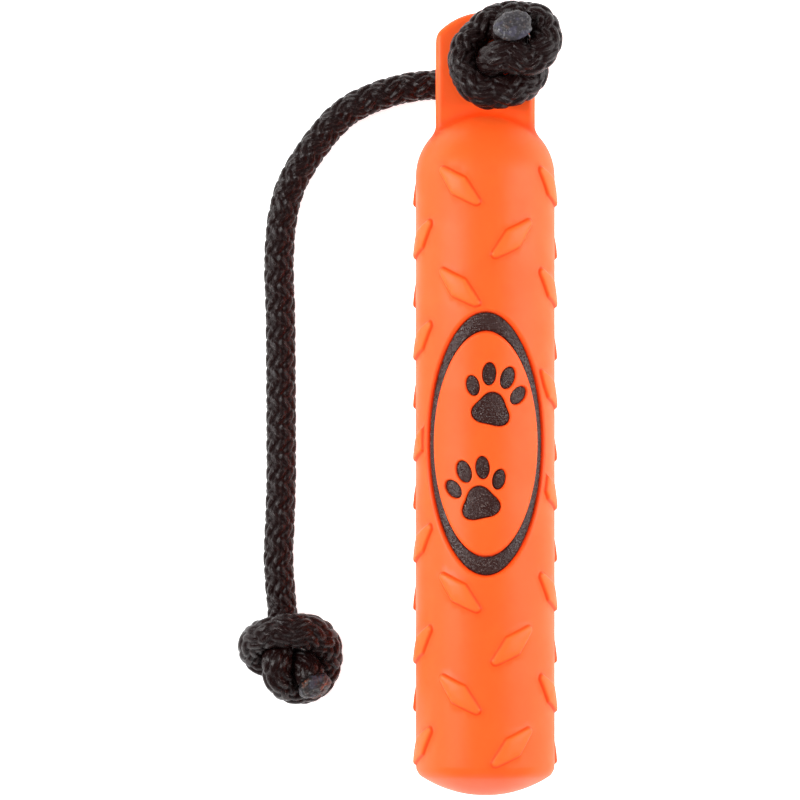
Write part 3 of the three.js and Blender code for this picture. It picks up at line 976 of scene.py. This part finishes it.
def ringInlay():
    steps = 420
    outer = ellipseLine(badge["outer"], steps)
    inner = ellipseLine(badge["inner"], steps)
    outer = outer - lineNormals(outer) * inlay["inset"]
    inner = inner + lineNormals(inner) * inlay["inset"]
    share = np.linspace(0, 1, inlay["across"] + 1)[:, None, None]
    flat = outer[None] * (1 - share) + inner[None] * share
    edge = np.minimum(share, 1 - share)[..., 0] * 2
    fall = 1 - np.sqrt(np.clip(1 - (1 - edge) ** 4, 0, 1))
    top = inlay["ringTop"] - inlay["sag"] * fall + 0 * flat[..., 0]
    size = flat.shape[0] * steps
    upper, outwards, _, _ = onSkin(flat[..., 0].ravel(), flat[..., 1].ravel(), top.ravel())
    upper = upper + outwards * inlay["rough"] * noiseAt(upper, 0.9, 2)[:, None]
    lower = onSkin(flat[..., 0].ravel(), flat[..., 1].ravel(), np.full(size, inlay["ringBottom"]))[0]
    index = np.arange(size).reshape(-1, steps)
    faces = []
    for i in range(inlay["across"]):
        joinRings(faces, index[i], index[i + 1])
        joinRings(faces, index[i + 1] + size, index[i] + size)
    joinRings(faces, index[0] + size, index[0])
    joinRings(faces, index[-1], index[-1] + size)
    piece = addMesh("badgeRing", np.vstack([upper, lower]), faces)
    faceOutwards(piece)
    return piece


def padInlay(printName, pad):
    line = padLine(printName, pad, 72)
    line = line - lineNormals(line) * inlay["inset"]
    middle = line.mean(0)
    rings = 12
    points, faces = [], []
    layers = []
    for height, isTop in ((inlay["padTop"], True), (inlay["padBottom"], False)):
        ids = []
        for i in range(rings):
            share = 1 - i / rings
            flat = middle + (line - middle) * share
            high = height - (inlay["sag"] * share**6 if isTop else 0)
            made, outwards, _, _ = onSkin(flat[:, 0], flat[:, 1], np.full(len(flat), high))
            if isTop:
                made = made + outwards * inlay["rough"] * noiseAt(made, 0.9, 5)[:, None]
            ids.append(list(range(len(points), len(points) + len(made))))
            points += made.tolist()
        centre = onSkin(middle[:1], middle[1:], np.array([height]))[0]
        points += centre.tolist()
        for first, second in zip(ids[:-1], ids[1:]):
            joinRings(faces, first, second)
        size = len(ids[-1])
        faces += [[ids[-1][i], ids[-1][(i + 1) % size], len(points) - 1] for i in range(size)]
        layers.append(ids[0])
    joinRings(faces, layers[0], layers[1])
    piece = addMesh("pawPad_" + printName + "_" + pad, points, faces)
    faceOutwards(piece)
    return piece


badgeRing = ringInlay()
pawPads = {
    (printName, pad): padInlay(printName, pad)
    for printName in paws["prints"]
    for pad in padNames
}
print("badge inlaid")

# Shared shader effects


def groupWith(name, inputs, outputs):
    group = bpy.data.node_groups.new(name, "ShaderNodeTree")
    for label, kind, value in inputs:
        socket = group.interface.new_socket(name=label, in_out="INPUT", socket_type=kind)
        socket.default_value = value
    for label, kind in outputs:
        group.interface.new_socket(name=label, in_out="OUTPUT", socket_type=kind)
    return group, group.nodes.new("NodeGroupInput"), group.nodes.new("NodeGroupOutput")


def math2(tree, operation, a, b=None, c=None):
    node = tree.nodes.new("ShaderNodeMath")
    node.operation = operation
    for socket, value in zip(node.inputs, (a, b, c)):
        if value is None:
            continue
        if isinstance(value, (int, float)):
            socket.default_value = value
        else:
            tree.links.new(value, socket)
    return node.outputs[0]


def ramp(tree, value, low, high, toLow=0.0, toHigh=1.0):
    node = tree.nodes.new("ShaderNodeMapRange")
    node.interpolation_type = "SMOOTHSTEP"
    node.inputs["From Min"].default_value = low
    node.inputs["From Max"].default_value = high
    node.inputs["To Min"].default_value = toLow
    node.inputs["To Max"].default_value = toHigh
    tree.links.new(value, node.inputs["Value"])
    return node.outputs["Result"]


def noiseNode(tree, place, scale, detail=3.0, roughness=0.55):
    node = tree.nodes.new("ShaderNodeTexNoise")
    node.inputs["Detail"].default_value = detail
    node.inputs["Roughness"].default_value = roughness
    tree.links.new(place, node.inputs["Vector"])
    if isinstance(scale, (int, float)):
        node.inputs["Scale"].default_value = scale
    else:
        tree.links.new(scale, node.inputs["Scale"])
    return node.outputs["Fac"]


def mixColour(tree, share, a, b):
    node = tree.nodes.new("ShaderNodeMix")
    node.data_type = "RGBA"
    for index, value in ((0, share), (6, a), (7, b)):
        if isinstance(value, bpy.types.NodeSocket):
            tree.links.new(value, node.inputs[index])
        else:
            node.inputs[index].default_value = value
    return node.outputs[2]


# Moulding grain: a fine pebble with slow cloudiness over it
def mouldGrain():
    group, given, result = groupWith(
        "mouldGrain",
        [("Grains per metre", "NodeSocketFloat", 2500.0), ("Clouds per metre", "NodeSocketFloat", 60.0)],
        [("Height", "NodeSocketFloat"), ("Clouds", "NodeSocketFloat")],
    )
    place = group.nodes.new("ShaderNodeTexCoord").outputs["Object"]
    pebble = noiseNode(group, place, given.outputs["Grains per metre"], 2.0)
    clouds = noiseNode(group, place, given.outputs["Clouds per metre"], 4.0)
    group.links.new(pebble, result.inputs["Height"])
    group.links.new(clouds, result.inputs["Clouds"])
    return group


# Speckle: scattered lighter grains in a rough surface
def speckle():
    group, given, result = groupWith(
        "speckle",
        [("Specks per metre", "NodeSocketFloat", 1400.0), ("Amount", "NodeSocketFloat", 0.5)],
        [("Mask", "NodeSocketFloat"), ("Height", "NodeSocketFloat")],
    )
    place = group.nodes.new("ShaderNodeTexCoord").outputs["Object"]
    cells = group.nodes.new("ShaderNodeTexVoronoi")
    group.links.new(place, cells.inputs["Vector"])
    group.links.new(given.outputs["Specks per metre"], cells.inputs["Scale"])
    patches = noiseNode(group, place, 260.0, 3.0)
    near = ramp(group, cells.outputs["Distance"], 0.55, 0.05)
    chosen = group.nodes.new("ShaderNodeSeparateColor")
    group.links.new(cells.outputs["Color"], chosen.inputs["Color"])
    picked = ramp(group, chosen.outputs["Red"], 0.35, 0.95)
    mask = math2(group, "MULTIPLY", near, picked)
    mask = math2(group, "MULTIPLY", mask, ramp(group, patches, 0.3, 0.7, 0.35, 1.0))
    mask = math2(group, "MULTIPLY", mask, given.outputs["Amount"])
    group.links.new(mask, result.inputs["Mask"])
    group.links.new(near, result.inputs["Height"])
    return group


def storedValues(tree, labels):
    read = {}
    for label in labels:
        node = tree.nodes.new("ShaderNodeAttribute")
        node.attribute_name = label
        read[label] = node.outputs["Fac"]
    return read


# Yarn: fibres that run along each strand, from the values stored with the braid, with painted glints on the
# crowns and painted shade between strands
def yarnFibres():
    group, given, result = groupWith(
        "yarnFibres",
        [("Fibres across", "NodeSocketFloat", 9.0), ("Fuzz", "NodeSocketFloat", 0.5)],
        [(label, "NodeSocketFloat") for label in ("Height", "Fibre glints", "Crown")],
    )
    read = storedValues(group, ("strandAcross", "strandAlong", "strandId", "strandHigh"))
    place = group.nodes.new("ShaderNodeCombineXYZ")
    across = math2(group, "MULTIPLY", read["strandAcross"], given.outputs["Fibres across"])
    group.links.new(across, place.inputs[0])
    group.links.new(math2(group, "MULTIPLY", read["strandAlong"], 0.32), place.inputs[1])
    group.links.new(math2(group, "MULTIPLY", read["strandId"], 7.3), place.inputs[2])
    fibres = noiseNode(group, place.outputs[0], 2.2, 2.0, 0.5)
    everywhere = group.nodes.new("ShaderNodeTexCoord").outputs["Object"]
    fuzz = noiseNode(group, everywhere, 1500.0, 2.0)
    height = math2(group, "ADD", fibres, math2(group, "MULTIPLY", fuzz, given.outputs["Fuzz"]))
    broken = ramp(group, fuzz, 0.4, 0.65, 0.15, 1.0)
    # painted glints: light streaks along the fibres, broken up by the fuzz
    light = math2(group, "MULTIPLY", ramp(group, fibres, 0.58, 0.74), broken)
    group.links.new(height, result.inputs["Height"])
    group.links.new(light, result.inputs["Fibre glints"])
    # crown share: painted crevice shade, none at a strand's crown, full where it dips under its neighbours
    group.links.new(ramp(group, read["strandHigh"], -0.55, 0.15), result.inputs["Crown"])
    return group


groups = {"mouldGrain": mouldGrain(), "speckle": speckle(), "yarnFibres": yarnFibres()}


def useGroup(tree, name, **values):
    node = tree.nodes.new("ShaderNodeGroup")
    node.node_tree = groups[name]
    for key, value in values.items():
        node.inputs[key].default_value = value
    return node


def startMaterial(name):
    material = bpy.data.materials.new(name)
    material.use_nodes = True
    tree = material.node_tree
    tree.nodes.clear()
    shader = tree.nodes.new("ShaderNodeBsdfPrincipled")
    output = tree.nodes.new("ShaderNodeOutputMaterial")
    tree.links.new(shader.outputs[0], output.inputs[0])
    return material, tree, shader


# size: the bump's strength, and its distance in metres
def addBump(tree, shader, height, size):
    bump = tree.nodes.new("ShaderNodeBump")
    bump.inputs["Strength"].default_value, bump.inputs["Distance"].default_value = size
    tree.links.new(height, bump.inputs["Height"])
    tree.links.new(bump.outputs[0], shader.inputs["Normal"])


vinylLook = {
    "colour": (1.0, 0.117, 0.015, 1),
    "cloudy": (1.0, 0.109, 0.013, 1),
    # painted crease shade: a darker, deeper orange for creases and recesses
    "paintedCreaseShade": (1.0, 0.052, 0.002, 1),
    # painted highlight: a lighter orange for the stud tops
    "studTopHighlight": (1.0, 0.139, 0.019, 1),
    "roughness": (0.4, 0.52),
    "grain": 3200.0,
    "clouds": 45.0,
    "creaseShadeShare": 0.92,
    "specular": 0.2,
    "glow": {"Weight": 0.25, "Radius": (1.0, 0.35, 0.12), "Scale": 0.0022},
    "bump": (0.12, 0.0002),
}


def orangeVinyl():
    material, tree, shader = startMaterial("orangeVinyl")
    grain = useGroup(tree, "mouldGrain", **{
        "Grains per metre": vinylLook["grain"], "Clouds per metre": vinylLook["clouds"],
    })
    clouds = grain.outputs["Clouds"]
    skin = mixColour(tree, ramp(tree, clouds, 0.35, 0.65), vinylLook["colour"], vinylLook["cloudy"])
    stored = storedValues(tree, ("creaseShade", "studTopHighlight"))
    # painted highlight: stud tops mixed toward the lighter orange
    onTop = mixColour(tree, stored["studTopHighlight"], skin, vinylLook["studTopHighlight"])
    # painted crease shade: creases and recesses mixed toward the darker orange
    deep = math2(tree, "MULTIPLY", stored["creaseShade"], vinylLook["creaseShadeShare"])
    tree.links.new(mixColour(tree, deep, onTop, vinylLook["paintedCreaseShade"]), shader.inputs["Base Color"])
    tree.links.new(ramp(tree, clouds, 0.3, 0.7, *vinylLook["roughness"]), shader.inputs["Roughness"])
    shader.inputs["Specular IOR Level"].default_value = vinylLook["specular"]
    for label, value in vinylLook["glow"].items():
        shader.inputs["Subsurface " + label].default_value = value
    addBump(tree, shader, grain.outputs["Height"], vinylLook["bump"])
    return material


inlayLook = {
    "base": (0.026, 0.005, 0.0032, 1),
    # specks: lighter grains of the black fill, partly painted glints
    "specks": (0.25, 0.18, 0.16, 1),
    "roughness": (0.2, 0.38),
    "lightSpecks": {"Specks per metre": 1500.0, "Amount": 0.75},
    "grain": {"Grains per metre": 1700.0, "Clouds per metre": 180.0},
    "grit": 0.6,
    "specular": 0.32,
    "bump": (0.7, 0.00035),
}


def blackInlay():
    material, tree, shader = startMaterial("blackInlay")
    lightSpecks = useGroup(tree, "speckle", **inlayLook["lightSpecks"])
    grain = useGroup(tree, "mouldGrain", **inlayLook["grain"])
    # lighter specks: partly the fill's own grain, partly painted glints
    tree.links.new(
        mixColour(tree, lightSpecks.outputs["Mask"], inlayLook["base"], inlayLook["specks"]),
        shader.inputs["Base Color"],
    )
    rough = ramp(tree, grain.outputs["Clouds"], 0.35, 0.65, *inlayLook["roughness"])
    tree.links.new(rough, shader.inputs["Roughness"])
    grit = math2(tree, "MULTIPLY", lightSpecks.outputs["Height"], inlayLook["grit"])
    height = math2(tree, "ADD", grain.outputs["Height"], grit)
    addBump(tree, shader, height, inlayLook["bump"])
    shader.inputs["Specular IOR Level"].default_value = inlayLook["specular"]
    return material


yarnLook = {
    # dark: near-black yarn whose red lean is partly painted reflection of the orange body
    "dark": (0.0085, 0.0022, 0.002, 1),
    # light: painted fibre glints
    "light": (0.2, 0.172, 0.162, 1),
    "roughness": (0.13, 0.3),
    "fibres": {"Fibres across": 10.0, "Fuzz": 0.35},
    "specular": 0.155,
    "sheen": 0.02,
    "sheenRoughness": 0.35,
    "bump": (0.4, 0.0003),
}


def blackYarn():
    material, tree, shader = startMaterial("blackYarn")
    yarn = useGroup(tree, "yarnFibres", **yarnLook["fibres"])
    # painted glints on the strand crowns; the low parts between strands stay dark as painted crevice shade
    share = math2(tree, "MULTIPLY", yarn.outputs["Fibre glints"], yarn.outputs["Crown"])
    colour = mixColour(tree, share, yarnLook["dark"], yarnLook["light"])
    tree.links.new(colour, shader.inputs["Base Color"])
    rough = ramp(tree, yarn.outputs["Height"], 0.4, 0.9, *yarnLook["roughness"])
    tree.links.new(rough, shader.inputs["Roughness"])
    shader.inputs["Specular IOR Level"].default_value = yarnLook["specular"]
    shader.inputs["Sheen Weight"].default_value = yarnLook["sheen"]
    shader.inputs["Sheen Roughness"].default_value = yarnLook["sheenRoughness"]
    addBump(tree, shader, yarn.outputs["Height"], yarnLook["bump"])
    return material


meltedLook = {
    "grey": {
        "dark": (0.026, 0.022, 0.026, 1),
        "light": (0.16, 0.145, 0.15, 1),
        "cool": (0.042, 0.037, 0.058, 1),
        "brown": (0.1, 0.05, 0.03, 1),
        "brownShare": 0.5,
    },
    "brown": {
        "dark": (0.011, 0.008, 0.008, 1),
        "light": (0.12, 0.105, 0.1, 1),
        "cool": (0.03, 0.026, 0.04, 1),
        "brown": (0.2, 0.052, 0.02, 1),
        "brownShare": 0.8,
    },
}
meltedGrain = {
    "lightSpecks": {"Specks per metre": 1050.0, "Amount": 1.0},
    "grain": {"Grains per metre": 1000.0, "Clouds per metre": 210.0},
    "roughness": (0.32, 0.66),
    "bump": (0.45, 0.00035),
}


def meltedYarn(tint):
    look = meltedLook[tint]
    material, tree, shader = startMaterial(tint + "MeltedYarn")
    lightSpecks = useGroup(tree, "speckle", **meltedGrain["lightSpecks"])
    grain = useGroup(tree, "mouldGrain", **meltedGrain["grain"])
    clouds = grain.outputs["Clouds"]
    smooth = ramp(tree, clouds, 0.47, 0.4)
    specks = math2(tree, "MULTIPLY", lightSpecks.outputs["Mask"], ramp(tree, smooth, 0.0, 1.0, 1.0, 0.25))
    first = mixColour(tree, specks, look["dark"], look["light"])
    second = mixColour(tree, smooth, first, look["cool"])
    patch = ramp(tree, clouds, 0.52, 0.64, 0.0, look["brownShare"])
    share = math2(tree, "MULTIPLY", patch, ramp(tree, grain.outputs["Height"], 0.42, 0.6))
    tree.links.new(mixColour(tree, share, second, look["brown"]), shader.inputs["Base Color"])
    rough = ramp(tree, grain.outputs["Height"], 0.3, 0.7, *meltedGrain["roughness"])
    tree.links.new(rough, shader.inputs["Roughness"])
    height = math2(tree, "ADD", grain.outputs["Height"], lightSpecks.outputs["Height"])
    addBump(tree, shader, height, meltedGrain["bump"])
    return material


rubberLook = {
    "dark": (0.014, 0.014, 0.015, 1),
    "worn": (0.035, 0.034, 0.034, 1),
    "grain": {"Grains per metre": 2600.0, "Clouds per metre": 300.0},
    "roughness": (0.5, 0.72),
    "bump": (0.4, 0.0002),
}


def valveRubber():
    material, tree, shader = startMaterial("valveRubber")
    grain = useGroup(tree, "mouldGrain", **rubberLook["grain"])
    wear = ramp(tree, grain.outputs["Clouds"], 0.4, 0.65)
    colour = mixColour(tree, wear, rubberLook["dark"], rubberLook["worn"])
    tree.links.new(colour, shader.inputs["Base Color"])
    rough = ramp(tree, grain.outputs["Clouds"], 0.3, 0.7, *rubberLook["roughness"])
    tree.links.new(rough, shader.inputs["Roughness"])
    addBump(tree, shader, grain.outputs["Height"], rubberLook["bump"])
    return material


studio = {
    "floorHalf": 9.0,
    "aim": (-0.02, 0, 0.02),
    "floorGlow": 0.78,
    "floorTones": ((0.93, 0.93, 0.93, 1), (0.96, 0.96, 0.96, 1)),
    "floorGrain": {"Grains per metre": 900.0, "Clouds per metre": 3.0},
    "floorRoughness": 0.9,
    "floorSpecular": 0.1,
    "world": 0.24,
    "lamps": (
        ("leftSoftbox", (-1.2, 0.25, 0.85), (0.3, 1.0), 25.0),
        ("rightSoftbox", (1.2, 0.2, 0.66), (0.55, 1.3), 20.5),
        ("topSoftbox", (0.0, 0.5, 2.2), (0.9, 0.9), 3.5),
        ("endSoftbox", (0.0, -1.2, 0.45), (0.9, 0.4), 3.2),
    ),
}


def floorPaint():
    material, tree, shader = startMaterial("floorPaint")
    grain = useGroup(tree, "mouldGrain", **studio["floorGrain"])
    colour = mixColour(tree, grain.outputs["Clouds"], *studio["floorTones"])
    tree.links.new(colour, shader.inputs["Base Color"])
    shader.inputs["Roughness"].default_value = studio["floorRoughness"]
    shader.inputs["Emission Color"].default_value = (1, 1, 1, 1)
    shader.inputs["Emission Strength"].default_value = studio["floorGlow"]
    shader.inputs["Specular IOR Level"].default_value = studio["floorSpecular"]
    return material


yarn = blackYarn()
finishes = [
    (bodyShell, orangeVinyl()),
    (airValve, valveRubber()),
    (stopperKnot, yarn),
    (ropeRun, yarn),
    (endKnot, yarn),
    (stopperTip, meltedYarn("grey")),
    (freeTip, meltedYarn("brown")),
]
blackFill = blackInlay()
finishes += [(piece, blackFill) for piece in [badgeRing, *pawPads.values()]]
for piece, finish in finishes:
    piece.data.materials.clear()
    piece.data.materials.append(finish)
print("finishes made:", len(finishes))

# Which body each piece rides on, and what it stands for

riders = [
    (bodyShell, "dummy", "body_shell", "orange_vinyl"),
    (airValve, "dummy", "air_valve", "valve_rubber"),
    (badgeRing, "dummy", "badge_ring", "black_inlay"),
]
for (printName, pad), piece in pawPads.items():
    node = "paw_" + printName + "_" + ("heel" if pad == "heel" else "toe_" + pad)
    riders.append((piece, "dummy", node, "black_inlay"))
riders += [
    (stopperKnot, "stopper", "stopper_knot", "black_rope"),
    (stopperTip, "stopper", "stopper_melted_end", "melted_rope"),
    (ropeRun, "rope", "rope_run", "black_rope"),
    (endKnot, "rope", "end_knot", "black_rope"),
    (freeTip, "rope", "free_melted_end", "melted_rope"),
]
for piece, carrier, node, slotName in riders:
    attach(piece, carrier)
    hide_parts(node)
runLine = surface["centre"][firstEnd - 1:secondEnd:6]
runLine = np.vstack([runLine, surface["centre"][secondEnd - 1]])
print("pieces riding")

# Floor and light

def addFloor():
    half = studio["floorHalf"] / mm
    corners = [(-half, -half, 0), (half, -half, 0), (half, half, 0), (-half, half, 0)]
    floor = addMesh("floor", corners, [(0, 1, 2, 3)])
    floor.data.materials.append(floorPaint())


def addLamps():
    for name, place, size, power in studio["lamps"]:
        lamp = bpy.data.lights.new(name, "AREA")
        lamp.shape = "RECTANGLE"
        lamp.size, lamp.size_y = size
        lamp.energy = power
        holder = bpy.data.objects.new(name, lamp)
        holder.location = place
        aim = Vector(studio["aim"]) - Vector(place)
        holder.rotation_euler = aim.to_track_quat("-Z", "Y").to_euler()
        holder.visible_camera = False
        bpy.context.scene.collection.objects.link(holder)


def addWorld():
    world = bpy.data.worlds.new("paleRoom")
    world.use_nodes = True
    back = world.node_tree.nodes["Background"]
    back.inputs["Color"].default_value = (1, 1, 1, 1)
    back.inputs["Strength"].default_value = studio["world"]
    bpy.context.scene.world = world


addFloor()
addLamps()
addWorld()
bpy.context.scene.view_settings.view_transform = "Standard"
print("studio lit")
